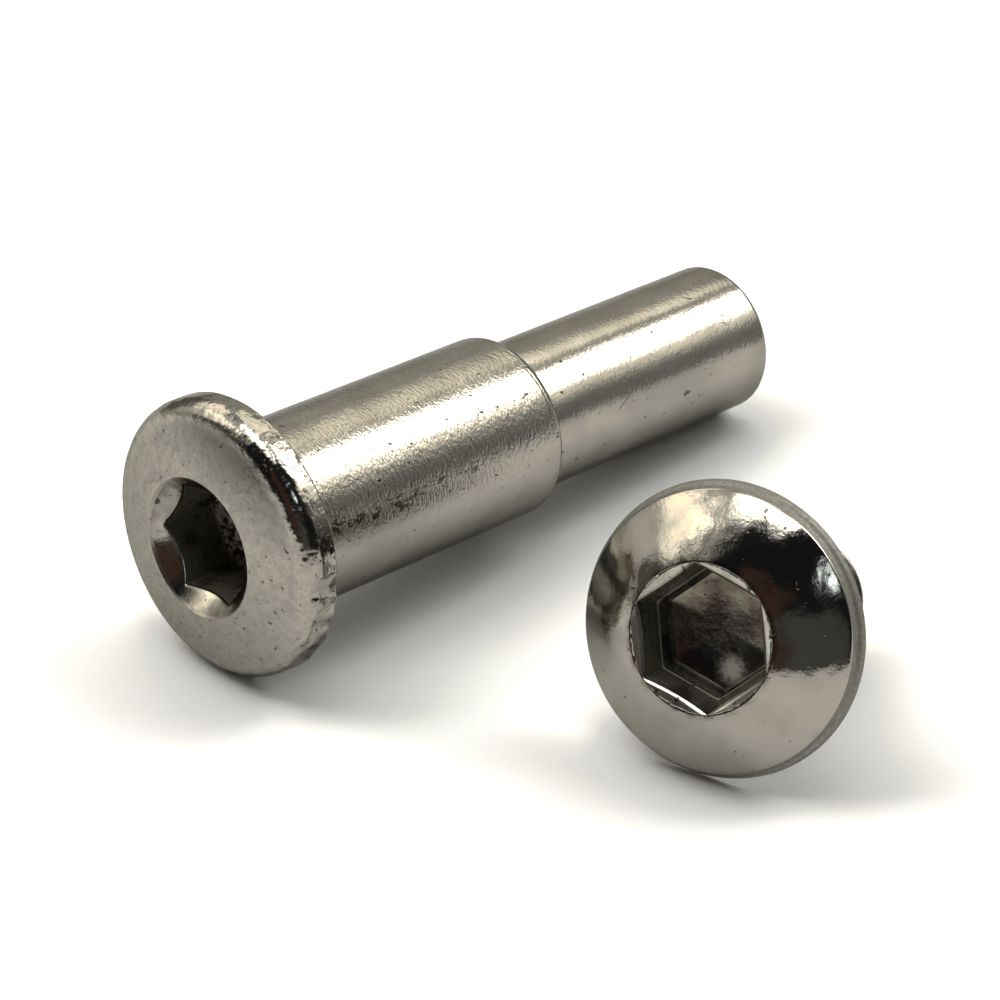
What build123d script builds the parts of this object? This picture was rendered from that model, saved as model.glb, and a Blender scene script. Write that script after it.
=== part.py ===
"""Binding barrel screw: a stepped barrel nut and the short button-head screw that closes it.

Both pieces are cold-headed steel with a hexagon key socket in a domed head.  The barrel passes
through the panels to be bound and has a tapped blind bore in its slim end; the screw enters that
bore from the other side.  They lie loose and side by side on a table, each touching it with the
rim of its head and with its far end.

Frame: millimetres, +Z up, the table at Z = 0, +X along the barrel from head to tail,
origin at the centre of the set's footprint.
"""
from build123d import *
from math import atan2, cos, radians, sin, sqrt, tan
import os

# ---- Key and thread: both pieces take the same key and share the thread -------------------------
KEY_SIZE = 5.0              # hexagon key, across flats
KEY_CLEARANCE = 0.1         # extra width across the flats of a socket
THREAD_DIA = 6.0            # M6, outer diameter of the screw's thread
THREAD_PITCH = 1.0
BORE_CLEARANCE = 0.08       # the tap drill is this much over the basic minor diameter

# ---- Barrel -------------------------------------------------------------------------------------
BARREL_LENGTH = 33.0        # underside of the head to the tail
BARREL_HEAD_DIA = 13.5
BARREL_HEAD_HEIGHT = 2.55   # underside to the lip of the socket
BARREL_DOME_RADIUS = 17.5   # the dome is a low cap, centred on the axis
BARREL_SHOULDER = 1.0       # radius that rounds the dome over into the rim
BODY_DIA = 9.1              # thick section, next to the head
BODY_LENGTH = 17.0
TAIL_DIA = 7.6              # slim section that carries the thread
BARREL_RIM_CHAMFER = 0.12   # lower edge of the head
NECK_FILLET = 0.3           # between the head and the thick section
STEP_ROUND = 0.45           # rounded end of the thick section
TAIL_CHAMFER = 0.35         # broken edge of the tail
BARREL_MOUTH_DIA = 6.85     # lip of the socket
BARREL_SOCKET_DEPTH = 3.4   # lip to the floor of the hexagon
BARREL_SOCKET_CLOCK = -34.0  # turn of the hexagon about the barrel's axis, degrees
BORE_DEPTH = 20.0           # tap drill, full diameter
BORE_MOUTH_DIA = 6.5        # countersink at the tail
DRILL_POINT = 118.0         # included angle at the bottom of the bore

# ---- Screw --------------------------------------------------------------------------------------
SCREW_LENGTH = 10.0         # underside of the head to the tip
SCREW_HEAD_DIA = 13.5
SCREW_HEAD_HEIGHT = 2.65    # underside to the lip of the socket
SCREW_RIM_HEIGHT = 0.45     # leaning band around the head
SCREW_RIM_LEAN = 0.25       # how far that band leans in
SCREW_DOME_DIA = 12.8       # where the dome ends, above the band
SCREW_DOME_RADIUS = 9.7     # a rounder cap than the barrel's, centred on the axis
SCREW_MOUTH_DIA = 6.85      # lip of the socket
SCREW_MOUTH_SLOPE = 20.0    # how steeply the cone inside the lip falls, degrees
SCREW_LEAD_IN = 0.8         # the hexagon is this much wider at the lip, across its flats
SCREW_LEAD_IN_DEPTH = 1.4   # lip to where the hexagon has its true size
SCREW_SOCKET_DEPTH = 2.55   # lip to the floor of the hexagon
SCREW_FLOOR_BEVEL = 0.2     # where the walls meet that floor
SCREW_CORNER_ROUND = 0.3    # corners of the lower hexagon
SCREW_SOCKET_CLOCK = -17.0  # turn of the hexagon about the screw's axis, degrees
SCREW_NECK_FILLET = 0.4     # between the head and the shank
SCREW_EDGE_ROUND = 0.2      # between the dome and the leaning band
TIP_CHAMFER = 0.3           # start of the thread

# ---- Where the pieces lie -----------------------------------------------------------------------
SCREW_FORWARD = 10.3        # from the barrel's head to the screw's head, along the barrel
SCREW_ASIDE = 20.7          # and to the barrel's right
SCREW_TURN = 15.7           # the screw points this much to the left of the barrel, degrees

NEAR = 0.001                # corners this close in x stand at one place along an axis

# ---- Worked out from the values above -----------------------------------------------------------
SOCKET_AF = KEY_SIZE + KEY_CLEARANCE
BORE_DIA = THREAD_DIA - 1.0825 * THREAD_PITCH + BORE_CLEARANCE


def cap_drop(cap_radius, inner_dia, outer_dia):
    """How far a spherical cap falls between two diameters."""
    return sqrt(cap_radius**2 - (inner_dia / 2) ** 2) - sqrt(cap_radius**2 - (outer_dia / 2) ** 2)


def lying_tilt(head_dia, end_dia, length):
    """Angle by which a headed piece dips towards its slimmer end on a table."""
    return atan2(head_dia / 2 - end_dia / 2, length)


def lying_plane(foot_x, foot_y, turn, head_dia, tilt):
    """Plane of a lying piece: x runs along its axis to the far end, y up and across it.

    Its origin is the centre of the head's underside, as high as the rim of the head holds it.
    """
    ahead = Vector(cos(turn) * cos(tilt), sin(turn) * cos(tilt), -sin(tilt))
    left = Vector(-sin(turn), cos(turn), 0)
    origin = Vector(foot_x, foot_y, head_dia / 2 * cos(tilt))
    return Plane(origin=origin, x_dir=ahead, z_dir=-left)


def disc_reach(plane, distance, diameter, direction):
    """How far the disc at a distance along a lying piece reaches in a direction."""
    centre = plane.origin + plane.x_dir * distance
    slant = plane.x_dir.dot(direction)
    return centre.dot(direction) + diameter / 2 * sqrt(1 - slant**2)


def cross_plane(plane, distance, clock):
    """Plane across a lying piece, facing its far end, turned about the axis by a clock angle."""
    origin = plane.origin + plane.x_dir * distance
    across = plane.x_dir.cross(plane.y_dir)
    x_dir = plane.y_dir * cos(radians(clock)) + across * sin(radians(clock))
    return Plane(origin=origin, x_dir=x_dir, z_dir=plane.x_dir)


def corner(section, distance, rank):
    """Corner of a half section at a distance along the axis, ranked from the axis outwards."""
    level = section.vertices().filter_by_position(Axis.X, distance - NEAR, distance + NEAR)
    return level.sort_by(Axis.Y)[rank]


barrel_tilt = lying_tilt(BARREL_HEAD_DIA, TAIL_DIA, BARREL_LENGTH - TAIL_CHAMFER)
screw_tilt = lying_tilt(SCREW_HEAD_DIA, THREAD_DIA, SCREW_LENGTH - TIP_CHAMFER)
screw_turn = radians(SCREW_TURN)

# The footprint's centre goes to the origin: first the pieces are laid out from the barrel's head.
barrel_laid = lying_plane(0, 0, 0, BARREL_HEAD_DIA, barrel_tilt)
screw_laid = lying_plane(SCREW_FORWARD, -SCREW_ASIDE, screw_turn, SCREW_HEAD_DIA, screw_tilt)
barrel_discs = [
    (0, BARREL_HEAD_DIA),
    (-BARREL_HEAD_HEIGHT, BARREL_MOUTH_DIA),
    (BARREL_LENGTH - TAIL_CHAMFER, TAIL_DIA),
    (BARREL_LENGTH, TAIL_DIA - 2 * TAIL_CHAMFER),
]
screw_discs = [
    (0, SCREW_HEAD_DIA),
    (-SCREW_HEAD_HEIGHT, SCREW_MOUTH_DIA),
    (SCREW_LENGTH - TIP_CHAMFER, THREAD_DIA),
]


def set_reach(direction):
    """How far the two laid-out pieces reach in a direction."""
    reaches = [disc_reach(barrel_laid, at, dia, direction) for at, dia in barrel_discs]
    reaches += [disc_reach(screw_laid, at, dia, direction) for at, dia in screw_discs]
    return max(reaches)


centre_x = (set_reach(Vector(1, 0, 0)) - set_reach(Vector(-1, 0, 0))) / 2
centre_y = (set_reach(Vector(0, 1, 0)) - set_reach(Vector(0, -1, 0))) / 2

barrel_plane = lying_plane(-centre_x, -centre_y, 0, BARREL_HEAD_DIA, barrel_tilt)
screw_plane = lying_plane(
    SCREW_FORWARD - centre_x, -SCREW_ASIDE - centre_y, screw_turn, SCREW_HEAD_DIA, screw_tilt
)
barrel_axis = Axis(barrel_plane.origin, barrel_plane.x_dir)
screw_axis = Axis(screw_plane.origin, screw_plane.x_dir)

# ---- Barrel -------------------------------------------------------------------------------------
with BuildPart() as barrel:
    # Half section: x runs along the axis and y out from it.  It holds the cone of the socket's lip.
    with BuildSketch(barrel_plane) as section:
        with BuildLine():
            lip = Vector(-BARREL_HEAD_HEIGHT, BARREL_MOUTH_DIA / 2)
            fall = cap_drop(BARREL_DOME_RADIUS, BARREL_MOUTH_DIA, BARREL_HEAD_DIA)
            rim = Vector(lip.X + fall, BARREL_HEAD_DIA / 2)
            cone_end = lip.X + (BARREL_MOUTH_DIA - SOCKET_AF) / 2
            RadiusArc(lip, rim, BARREL_DOME_RADIUS)
            Polyline(
                rim,
                (0, BARREL_HEAD_DIA / 2),
                (0, BODY_DIA / 2),
                (BODY_LENGTH, BODY_DIA / 2),
                (BODY_LENGTH, TAIL_DIA / 2),
                (BARREL_LENGTH, TAIL_DIA / 2),
                (BARREL_LENGTH, 0),
                (cone_end, 0),
                (cone_end, SOCKET_AF / 2),
                lip,
            )
        make_face()
        fillet(corner(section, rim.X, -1), BARREL_SHOULDER)
        chamfer(corner(section, 0, -1), BARREL_RIM_CHAMFER)
        fillet(corner(section, 0, 0), NECK_FILLET)
        fillet(corner(section, BODY_LENGTH, -1), STEP_ROUND)
        chamfer(corner(section, BARREL_LENGTH, -1), TAIL_CHAMFER)
    revolve(axis=barrel_axis)

    # Key socket: the hexagon cuts through the cone and leaves a scallop over each flat.
    with BuildSketch(cross_plane(barrel_plane, lip.X, BARREL_SOCKET_CLOCK)):
        RegularPolygon(SOCKET_AF / 2, 6, major_radius=False)
    extrude(amount=BARREL_SOCKET_DEPTH, mode=Mode.SUBTRACT)

    # Blind bore for the thread, countersunk at the tail and pointed by its drill.
    with BuildSketch(barrel_plane):
        with BuildLine():
            bore_floor = BARREL_LENGTH - BORE_DEPTH
            Polyline(
                (BARREL_LENGTH, 0),
                (BARREL_LENGTH, BORE_MOUTH_DIA / 2),
                (BARREL_LENGTH - (BORE_MOUTH_DIA - BORE_DIA) / 2, BORE_DIA / 2),
                (bore_floor, BORE_DIA / 2),
                (bore_floor - BORE_DIA / 2 / tan(radians(DRILL_POINT / 2)), 0),
                close=True,
            )
        make_face()
    revolve(axis=barrel_axis, mode=Mode.SUBTRACT)

# ---- Screw --------------------------------------------------------------------------------------
with BuildPart() as screw:
    # Half section.  The shank is as thick as the thread's crests.
    with BuildSketch(screw_plane) as section:
        with BuildLine():
            lip = Vector(-SCREW_HEAD_HEIGHT, SCREW_MOUTH_DIA / 2)
            fall = cap_drop(SCREW_DOME_RADIUS, SCREW_MOUTH_DIA, SCREW_DOME_DIA)
            dome_edge = Vector(lip.X + fall, SCREW_DOME_DIA / 2)
            rim = Vector(-SCREW_RIM_HEIGHT, SCREW_HEAD_DIA / 2 - SCREW_RIM_LEAN)
            cone_end = lip.X + (SCREW_MOUTH_DIA - SOCKET_AF) / 2 * tan(radians(SCREW_MOUTH_SLOPE))
            RadiusArc(lip, dome_edge, SCREW_DOME_RADIUS)
            Polyline(
                dome_edge,
                rim,
                (0, SCREW_HEAD_DIA / 2),
                (0, THREAD_DIA / 2),
                (SCREW_LENGTH, THREAD_DIA / 2),
                (SCREW_LENGTH, 0),
                (cone_end, 0),
                (cone_end, SOCKET_AF / 2),
                lip,
            )
        make_face()
        fillet(corner(section, dome_edge.X, -1), SCREW_EDGE_ROUND)
        fillet(corner(section, 0, 0), SCREW_NECK_FILLET)
        chamfer(corner(section, SCREW_LENGTH, -1), TIP_CHAMFER)
    revolve(axis=screw_axis)

    # Key socket: the hexagon narrows from the lip to its true size, then runs straight down.
    socket_waist = lip.X + SCREW_LEAD_IN_DEPTH
    with BuildSketch(cross_plane(screw_plane, lip.X, SCREW_SOCKET_CLOCK)):
        RegularPolygon((SOCKET_AF + SCREW_LEAD_IN) / 2, 6, major_radius=False)
    with BuildSketch(cross_plane(screw_plane, socket_waist, SCREW_SOCKET_CLOCK)):
        RegularPolygon(SOCKET_AF / 2, 6, major_radius=False)
    loft(mode=Mode.SUBTRACT)
    with BuildSketch(cross_plane(screw_plane, socket_waist, SCREW_SOCKET_CLOCK)) as lower:
        RegularPolygon(SOCKET_AF / 2, 6, major_radius=False)
        fillet(lower.vertices(), SCREW_CORNER_ROUND)
    extrude(amount=SCREW_SOCKET_DEPTH - SCREW_LEAD_IN_DEPTH, mode=Mode.SUBTRACT)
    floor_edges = screw.edges(Select.LAST).group_by(screw_axis)[-1]
    chamfer(floor_edges, SCREW_FLOOR_BEVEL)

# ---- Files --------------------------------------------------------------------------------------
os.makedirs("parts", exist_ok=True)
barrel.part.label = "barrel"
screw.part.label = "screw"
export_step(barrel.part, "parts/barrel.step")
export_step(screw.part, "parts/screw.step")
for piece in (barrel, screw):
    low, high = piece.part.bounding_box().min, piece.part.bounding_box().max
    print(piece.part.label, round(piece.part.volume, 2), "mm3, from", low, "to", high)
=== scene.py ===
# %% [markdown]
# # Binding barrel screw
# Two cold-headed steel pieces, plated with nickel: a long stepped barrel with a tapped blind
# bore in its slim end, and a short button-head screw that closes it. Both heads take the same
# hexagon key. Such a pair binds panels, straps or book covers: the barrel goes through them and
# the screw enters from the other side. Here the two lie loose on a table.
#
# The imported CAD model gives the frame. Its solids are cut into flat facets, which is right for
# measuring and for collision, but polished metal shows every facet, so both pieces are built
# again here as fine smooth skins of the same sizes in the same places.

# %% Load the frame
import math
from functools import partial

import bmesh
import bpy
import numpy as np
from mathutils import Matrix, Vector, noise


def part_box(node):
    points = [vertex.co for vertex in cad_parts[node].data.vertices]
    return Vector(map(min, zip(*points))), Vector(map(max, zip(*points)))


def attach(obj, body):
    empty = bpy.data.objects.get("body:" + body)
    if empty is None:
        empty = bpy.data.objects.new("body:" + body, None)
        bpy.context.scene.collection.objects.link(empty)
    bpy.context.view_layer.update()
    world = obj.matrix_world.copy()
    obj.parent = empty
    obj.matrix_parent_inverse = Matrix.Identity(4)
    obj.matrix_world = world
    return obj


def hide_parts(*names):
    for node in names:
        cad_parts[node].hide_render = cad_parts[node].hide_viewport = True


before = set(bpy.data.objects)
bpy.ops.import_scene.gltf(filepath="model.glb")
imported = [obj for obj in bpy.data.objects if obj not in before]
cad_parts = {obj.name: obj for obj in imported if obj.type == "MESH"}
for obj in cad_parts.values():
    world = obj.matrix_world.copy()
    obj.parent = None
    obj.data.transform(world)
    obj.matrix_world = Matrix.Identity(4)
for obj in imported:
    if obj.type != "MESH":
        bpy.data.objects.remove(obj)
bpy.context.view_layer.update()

MM = 0.001  # the frame is in metres, the values below are in millimetres

# %% [markdown]
# ## The sizes
# A maker's drawing of this pair needs few numbers: the key, the thread, and a half section of
# each piece. They repeat the CAD source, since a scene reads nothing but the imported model.
# Lengths along a piece start at the underside of its head and grow towards its far end, so the
# lip of the socket has a negative length.

# %% Sizes of the two pieces
KEY_AF = 5.1            # socket, across flats
THREAD_DIA = 6.0
THREAD_PITCH = 1.0

BARREL_LENGTH = 33.0
BARREL_HEAD_DIA = 13.5
BARREL_HEAD_HEIGHT = 2.55
BARREL_DOME_RADIUS = 17.5
BARREL_SHOULDER = 1.0
BODY_DIA = 9.1
BODY_LENGTH = 17.0
TAIL_DIA = 7.6
TAIL_CHAMFER = 0.35
BARREL_MOUTH_DIA = 6.85
BARREL_SOCKET_DEPTH = 3.4
BARREL_CLOCK = -34.0    # turn of the hexagon about the axis, degrees
BORE_DIA = 4.9975
BORE_DEPTH = 20.0
BORE_MOUTH_DIA = 6.5

SCREW_LENGTH = 10.0
SCREW_HEAD_DIA = 13.5
SCREW_HEAD_HEIGHT = 2.65
SCREW_RIM_HEIGHT = 0.45
SCREW_RIM_LEAN = 0.25
SCREW_DOME_DIA = 12.8
SCREW_DOME_RADIUS = 9.7
SCREW_MOUTH_DIA = 6.85
SCREW_MOUTH_SLOPE = 20.0
SCREW_LEAD_IN = 0.8
SCREW_LEAD_IN_DEPTH = 1.4
SCREW_SOCKET_DEPTH = 2.55
SCREW_FLOOR_BEVEL = 0.2
SCREW_CLOCK = -17.0
SCREW_TURN = 15.7       # the screw points this much to the left of the barrel, degrees
TIP_CHAMFER = 0.3

print("barrel", BARREL_HEAD_HEIGHT + BARREL_LENGTH, "mm over all, screw",
      SCREW_HEAD_HEIGHT + SCREW_LENGTH, "mm, key socket", KEY_AF, "mm across flats")

# %% [markdown]
# ## How the pieces lie
# A headed piece on a table rests on the rim of its head and on the edge of its far end, so its
# axis dips by the angle between the two radii. A matrix takes a point given in the piece's own
# axes (x up and across, y to the side, z along the piece) to its place on the table. Its last
# column, where the centre of the head's underside lies, comes from the CAD node's box: the discs
# that reach furthest to the right and to the back touch the box there.

# %% Place of each piece
def lying(node, turn_deg, head_dia, end_dia, end_at, discs):
    """Matrix of a lying piece. discs are (distance, diameter) of what may touch the box."""
    turn = math.radians(turn_deg)
    tilt = math.atan2(head_dia / 2 - end_dia / 2, end_at)
    axis = Vector((math.cos(turn) * math.cos(tilt), math.sin(turn) * math.cos(tilt), -math.sin(tilt)))
    up = Vector((math.cos(turn) * math.sin(tilt), math.sin(turn) * math.sin(tilt), math.cos(tilt)))
    side = axis.cross(up)
    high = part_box(node)[1]
    place = Matrix((up, side, axis)).transposed().to_4x4()
    for row in (0, 1):
        slant = axis[row]
        reach = max(slant * at + dia / 2 * math.sqrt(1 - slant**2) for at, dia in discs)
        place[row][3] = high[row] - reach * MM
    place[2][3] = head_dia / 2 * math.cos(tilt) * MM
    return place


BARREL_PLACE = lying(
    "barrel", 0.0, BARREL_HEAD_DIA, TAIL_DIA, BARREL_LENGTH - TAIL_CHAMFER,
    [(0.12, BARREL_HEAD_DIA), (BARREL_LENGTH - TAIL_CHAMFER, TAIL_DIA),
     (BARREL_LENGTH, TAIL_DIA - 2 * TAIL_CHAMFER)])
SCREW_PLACE = lying(
    "screw", SCREW_TURN, SCREW_HEAD_DIA, THREAD_DIA, SCREW_LENGTH - TIP_CHAMFER,
    [(0, SCREW_HEAD_DIA), (SCREW_LENGTH - TIP_CHAMFER, THREAD_DIA),
     (SCREW_LENGTH, THREAD_DIA - 2 * TIP_CHAMFER)])
for name, place in (("barrel", BARREL_PLACE), ("screw", SCREW_PLACE)):
    print(name, "head underside at", [round(v / MM, 3) for v in place.translation], "mm")

# %% [markdown]
# ## Half sections with broken edges
# No edge of a headed and plated part is truly sharp: the die, the barrel tumbling and the plating
# all round it, and that small round is what catches the light. So a half section is drawn as
# a few corners, each with its radius, and a helper swaps each corner for a short arc. A Bevel
# modifier could do it too, but it would also round the hexagon, which needs its own care.

# %% Soft half section
def soft_section(corners, steps=5, stride=0.8):
    """Points (length, radius) of a section, at most a stride apart in mm. corners are
    (length, radius, edge radius), and an edge is an arc of so many steps."""
    points = []
    for i, (a, r, edge) in enumerate(corners):
        here = np.array((a, r))
        if edge <= 0 or i in (0, len(corners) - 1):
            points.append(here)
            continue
        back = np.array(corners[i - 1][:2]) - here
        ahead = np.array(corners[i + 1][:2]) - here
        back, ahead = back / np.linalg.norm(back), ahead / np.linalg.norm(ahead)
        half = math.acos(float(np.clip(back @ ahead, -1, 1))) / 2
        if half > math.radians(89):  # so nearly straight that there is no edge to round
            points.append(here)
            continue
        reach = edge / math.tan(half)
        centre = here + (back + ahead) / np.linalg.norm(back + ahead) * edge / math.sin(half)
        start, end = here + back * reach - centre, here + ahead * reach - centre
        sweep = math.pi - 2 * half
        for k in range(steps + 1):
            t = k / steps
            points.append(centre + (start * math.sin((1 - t) * sweep) + end * math.sin(t * sweep))
                          / math.sin(sweep))
    filled = [points[0]]
    for start, end in zip(points, points[1:]):
        parts = int(np.linalg.norm(end - start) / stride) + 1
        filled += [start + (end - start) * k / parts for k in range(1, parts + 1)]
    return np.array(filled)


def dome(lip_at, inner_dia, outer_dia, radius, count):
    """Points of a spherical cap's section from the lip of the socket outwards."""
    centre = lip_at + math.sqrt(radius**2 - (inner_dia / 2) ** 2)
    across = np.linspace(inner_dia / 2, outer_dia / 2, count)
    return [(centre - math.sqrt(radius**2 - r * r), r) for r in across]


print("a 5 mm square corner rounded by 1 mm:",
      np.round(soft_section([(0, 0, 0), (5, 0, 1), (5, 5, 0)], 2, 9), 2).tolist())

# %% [markdown]
# ## The hexagon
# A key socket is punched, and its hexagon has slightly rounded corners. Seen from the axis,
# a hexagon is a radius that changes with the angle: along a flat it is the apothem over the
# cosine, and in a corner it follows the corner's arc. The angles at which the skin is cut are
# crowded towards the six corners, where the shape turns quickly.

# %% Angles and hexagon radius
SECTOR = 44             # angles per flat
CROWD = 0.62            # how much closer together they are at the corners


def cut_angles(clock):
    """Angles around a piece in radians, counted from one corner of the hexagon."""
    x = np.arange(SECTOR) / SECTOR * 2 - 1
    within = 30 * (x + CROWD * np.sin(math.pi * x) / math.pi)
    return np.radians(np.concatenate([clock + 30 + 60 * k + within for k in range(6)]))


def hexagon(angles, clock, apothem, corner):
    """Radius of a hexagon with rounded corners at each angle."""
    off = np.abs((np.degrees(angles) - clock) % 60 - 30)
    flat = apothem / np.cos(np.radians(off))
    hub = (apothem - corner) / math.cos(math.radians(30))
    turn = np.radians(30 - off)
    arc = hub * np.cos(turn) + np.sqrt(np.maximum(corner**2 - (hub * np.sin(turn)) ** 2, 0))
    start = math.degrees(math.atan((apothem - corner) * math.tan(math.radians(30)) / apothem))
    return np.where(off > start, arc, flat)


barrel_angles, screw_angles = cut_angles(BARREL_CLOCK), cut_angles(SCREW_CLOCK)
BARREL_CORNER = 0.1     # corner radius of the barrel's hexagon
print(len(barrel_angles), "cuts; across corners",
      round(2 * hexagon(barrel_angles, BARREL_CLOCK, KEY_AF / 2, BARREL_CORNER).max(), 3), "mm")

# %% [markdown]
# ## From rings to a skin
# Both pieces are skins of rings around one axis. A ring is a length and a radius for each angle,
# so a round part and a hexagon use the same rings, and the mesh stays one closed surface from
# the floor of the socket to the bottom of the bore. A point at each end closes it. The rings
# come in groups with a name each, such as floor or wall, and a group keeps its own finish.

# %% Skin of rings
def into_scene(name, data):
    """A new object of the scene with the given mesh, lamp or camera."""
    made = bpy.data.objects.new(name, data)
    bpy.context.scene.collection.objects.link(made)
    return made


def skin(name, groups, angles, place):
    """Closed mesh object of groups of rings, each ring (lengths, radii) in mm."""
    rings = [ring for _, part in groups for ring in part]
    n = len(angles)
    c, s = np.cos(angles), np.sin(angles)
    points = [(0, 0, float(np.mean(rings[0][0])))]
    for a, r in rings:
        a, r = np.broadcast_to(a, n), np.broadcast_to(r, n)
        points += np.stack([r * c, r * s, a], axis=1).tolist()
    points.append((0, 0, float(np.mean(rings[-1][0]))))
    faces = [(0, 1 + j, 1 + (j + 1) % n) for j in range(n)]
    for i in range(len(rings) - 1):
        lo, hi = 1 + i * n, 1 + (i + 1) * n
        faces += [(lo + j, hi + j, hi + (j + 1) % n, lo + (j + 1) % n) for j in range(n)]
    last = 1 + (len(rings) - 1) * n
    faces += [(last + j, len(points) - 1, last + (j + 1) % n) for j in range(n)]
    mesh = bpy.data.meshes.new(name)
    mesh.from_pydata([place @ (Vector(p) * MM) for p in points], [], faces)
    mesh.polygons.foreach_set("use_smooth", [True] * len(faces))
    piece = into_scene(name, mesh)
    face_out(piece)
    return piece


def face_out(piece):
    """Makes every face point out of the closed piece, and says whether it is closed."""
    work = bmesh.new()
    work.from_mesh(piece.data)
    bmesh.ops.recalc_face_normals(work, faces=work.faces)
    if work.calc_volume(signed=True) < 0:
        bmesh.ops.reverse_faces(work, faces=work.faces)
    loose = sum(1 for e in work.edges if len(e.link_faces) != 2)
    triangles = sum(len(f.verts) - 2 for f in work.faces)
    volume = work.calc_volume() / MM**3
    work.to_mesh(piece.data)
    work.free()
    print(piece.name, triangles, "triangles,", round(volume, 1), "mm3,", loose, "open edges")


# %% [markdown]
# ## The barrel's key socket
# The lip of the socket is a 45 degree cone, and the hexagon is punched through it. Where a flat
# meets the cone it leaves a scallop, and the corners reach nearly to the lip. For each angle the
# wall ends where the cone has the hexagon's radius, so the scallops come by themselves. The
# punch marks the walls faintly as it goes in, and tears the floor where the last metal gives.

# %% Rings of the barrel's socket
def ragged(angles, length, size, seed):
    """Smooth random values around a piece at one length, the same at each run."""
    c, s = np.cos(angles) * size, np.sin(angles) * size
    return np.array([noise.noise(Vector((x, y, length * size + seed))) for x, y in zip(c, s)])


FLOOR_CROWN = 0.1       # how much deeper the middle of the torn floor lies
FLOOR_TEAR = 0.09       # how far it rises and falls
FLOOR_ROUND = 0.12      # height of the round between floor and wall
PUNCH_MARKS = 0.012     # depth of the marks on the wall


def straight_socket(angles, lip):
    """Groups of rings from the middle of the socket's floor up to just inside its lip."""
    mouth = BARREL_MOUTH_DIA / 2
    wall = hexagon(angles, BARREL_CLOCK, KEY_AF / 2, BARREL_CORNER)
    floor, edge = lip + BARREL_SOCKET_DEPTH, lip + (mouth - wall)
    bottom = []
    for k in np.linspace(0.1, 0.96, 16):
        torn = FLOOR_TEAR * k * ragged(angles, k * 6, 1.6 + 2 * k, 51.0)
        bottom.append((floor + FLOOR_CROWN * (1 - k) + torn, wall * k))
    foot, top = floor - FLOOR_ROUND, edge + 0.07
    sides = [(floor - FLOOR_ROUND / 4, wall * 0.985), (foot, wall)]
    for k in np.linspace(0.08, 0.95, 12):
        marks = PUNCH_MARKS * ragged(angles, k * 3, 2.5, 4.0)
        sides.append((foot + (top - foot) * k, wall + marks))
    sides.append((top, wall))
    cone = [(edge + 0.015, wall + 0.012), (edge - 0.045, wall + 0.05)]
    cone += [(edge + (lip - edge) * k, wall + (mouth - wall) * k) for k in (0.3, 0.6, 0.85)]
    return [("floor", bottom), ("wall", sides), ("cone", cone)]


barrel_lip = -BARREL_HEAD_HEIGHT
barrel_socket = straight_socket(barrel_angles, barrel_lip)
print({name: len(rings) for name, rings in barrel_socket})

# %% [markdown]
# ## The barrel
# The outside runs from the lip over the dome and the shoulder, under the head, along the thick
# and the slim section, and in through the countersink to the bottom of the bore. The thread is
# a separate sleeve, made further on, and the bore here is a little wider, so that it fits in.
# The head of a cold-headed blank isn't perfectly round: metal flows unevenly to the rim, and
# tumbling leaves nicks in it. Small random pushes, always inwards, give the rim that edge.

# %% Barrel mesh
SLEEVE_BORE = THREAD_DIA / 2 + 0.1
GROOVE = 0.05           # relief at the foot of the step, as deep as this
DRILL_POINT = 1.7       # length of the cone at the bottom of the bore
barrel_cap = dome(barrel_lip, BARREL_MOUTH_DIA, BARREL_HEAD_DIA, BARREL_DOME_RADIUS, 34)
barrel_section = soft_section(
    [(barrel_lip + 0.06, BARREL_MOUTH_DIA / 2 - 0.06, 0), (*barrel_cap[0], 0.03)]
    + [(a, r, 0) for a, r in barrel_cap[1:-1] if r < BARREL_HEAD_DIA / 2 - 0.66 * BARREL_SHOULDER]
    + [(*barrel_cap[-1], BARREL_SHOULDER), (0, BARREL_HEAD_DIA / 2, 0.12), (0, BODY_DIA / 2, 0.3),
       (BODY_LENGTH, BODY_DIA / 2, 0.45), (BODY_LENGTH, TAIL_DIA / 2 - GROOVE, 0.04),
       (BODY_LENGTH + 0.1, TAIL_DIA / 2 - GROOVE, 0.04), (BODY_LENGTH + 0.18, TAIL_DIA / 2, 0.05),
       (BARREL_LENGTH - TAIL_CHAMFER, TAIL_DIA / 2, 0.3),
       (BARREL_LENGTH, TAIL_DIA / 2 - TAIL_CHAMFER, 0.08),
       (BARREL_LENGTH, BORE_MOUTH_DIA / 2, 0.04),
       (BARREL_LENGTH - (BORE_MOUTH_DIA / 2 - SLEEVE_BORE), SLEEVE_BORE, 0),
       (BARREL_LENGTH - BORE_DEPTH, SLEEVE_BORE, 0),
       (BARREL_LENGTH - BORE_DEPTH - DRILL_POINT, 0.3, 0)], steps=9)


def rough_rim(section, angles, head_dia, reach, depth, seed, nicks=(), torn=(0, 1, 0)):
    """Rings of a section whose rim is pushed in unevenly, over a reach inside the head's edge.
    Each nick, and the torn stretch, is (angle, half its width in degrees, depth)."""
    def bump(at, width, deep):
        off = (np.degrees(angles) - at + 180) % 360 - 180
        return deep * np.exp(-((off / width) ** 2))

    rings = []
    for a, r in section:
        near = np.clip((r - head_dia / 2 + reach) / reach, 0, 1) if a < 0.5 else 0.0
        push = 0.0
        if near > 0:
            slow, fast = ragged(angles, a * 0.5, 1.3, seed), ragged(angles, a, 9.0, seed + 7)
            fray = (0.25 + ragged(angles, a * 2, 19.0, seed + 3)).clip(0)
            push = depth * (0.6 + 0.8 * slow + 0.45 * fast).clip(0) + bump(*torn) * fray
            push = push + sum(bump(*nick) for nick in nicks)
        rings.append((a + 0.0 * angles, r - push * near**2 * (3 - 2 * near)))
    return rings


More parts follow.
